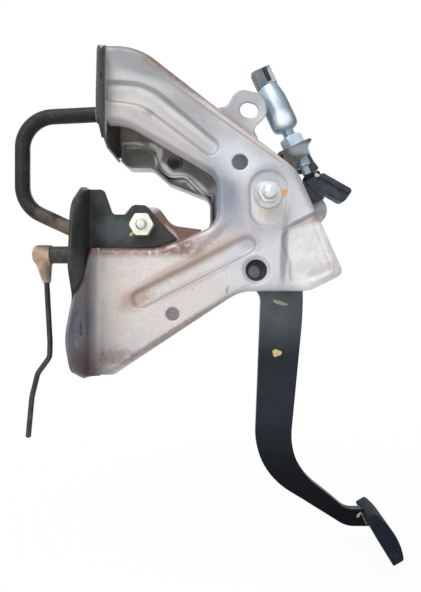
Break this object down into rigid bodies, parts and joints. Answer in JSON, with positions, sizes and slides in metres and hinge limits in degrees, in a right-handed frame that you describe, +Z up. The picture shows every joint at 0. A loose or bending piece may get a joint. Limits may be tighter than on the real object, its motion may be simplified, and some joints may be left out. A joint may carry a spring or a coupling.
{
  "type": "brake pedal assembly",
  "caption": "Hanging brake pedal in a pressed steel bracket with a stop lamp switch, a bent stay hoop, a hanging link rod, a cranked flat arm and a rubber pad.",
  "frame": {"origin": "on the dash face, midway between the two lower dash bolts", "axes": "+X from the dash to the driver, +Y across the car away from the nut of the pivot bolt, +Z up"},
  "size_m": [0.3098, 0.1698, 0.4261],
  "materials": {
    "bare_sheet": "bare pressed steel sheet with light rust",
    "black_paint": "satin black paint, dusty",
    "arm_paint": "satin blue-black paint",
    "black_rod": "satin black coating",
    "zinc": "zinc plated",
    "lever_steel": "dull grey steel",
    "brown_sheet": "dull brown-grey, oxidised",
    "cream_nylon": "aged cream nylon",
    "white_nylon": "natural nylon",
    "grey_plastic": "blue-grey moulded plastic",
    "rubber": "moulded black rubber",
    "tin_brass": "tinned brass"
  },
  "bodies": {
    "bracket": {"side_plate_near": "bare_sheet", "side_plate_far": "bare_sheet", "upper_tie_plate": "bare_sheet", "top_bridge": "bare_sheet", "dash_bracket": "black_paint", "bracket_bolt": "zinc", "bracket_nut": "zinc", "stay_hoop": "black_paint", "link_pin": "black_paint", "pivot_bolt": "zinc", "pivot_washer": "zinc", "pivot_nut": "zinc", "pivot_sleeve": "zinc", "switch_bracket": "brown_sheet", "switch_body": "zinc", "switch_connector": "grey_plastic", "switch_terminals": "tin_brass", "switch_locknut_upper": "zinc", "switch_locknut_lower": "zinc"},
    "pedal": {"hub_tube": "arm_paint", "bush_near": "white_nylon", "bush_far": "white_nylon", "pedal_arm": "arm_paint", "lever_plate": "lever_steel", "striker_arm": "arm_paint", "stop_cushion": "rubber", "pad_plate": "arm_paint", "pad_rubber": "rubber"},
    "plunger": {"switch_plunger": "white_nylon"},
    "link": {"rod_socket": "cream_nylon", "link_rod": "black_rod"}
  },
  "joints": [
    {"name": "pedal_pivot", "type": "hinge", "parent": "bracket", "child": "pedal", "pos_m": [0.1438, 0, 0.103], "axis": [0, 1, 0], "range_deg": [0, 22], "stiffness_Nm_per_rad": 3, "springref_deg": -34.38},
    {"name": "plunger_slide", "type": "slide", "parent": "bracket", "child": "plunger", "axis": [0.4179, 0, -0.9085], "range_m": [0, 0.0062]},
    {"name": "link_swing", "type": "hinge", "parent": "bracket", "child": "link", "pos_m": [-0.028, -0.042, 0.0543], "axis": [1, 0, 0], "range_deg": [-30, 30]}
  ],
  "couplings": [
    {"joint": "plunger_slide", "follows": "pedal_pivot", "m_per_rad": 0.0155}
  ]
}
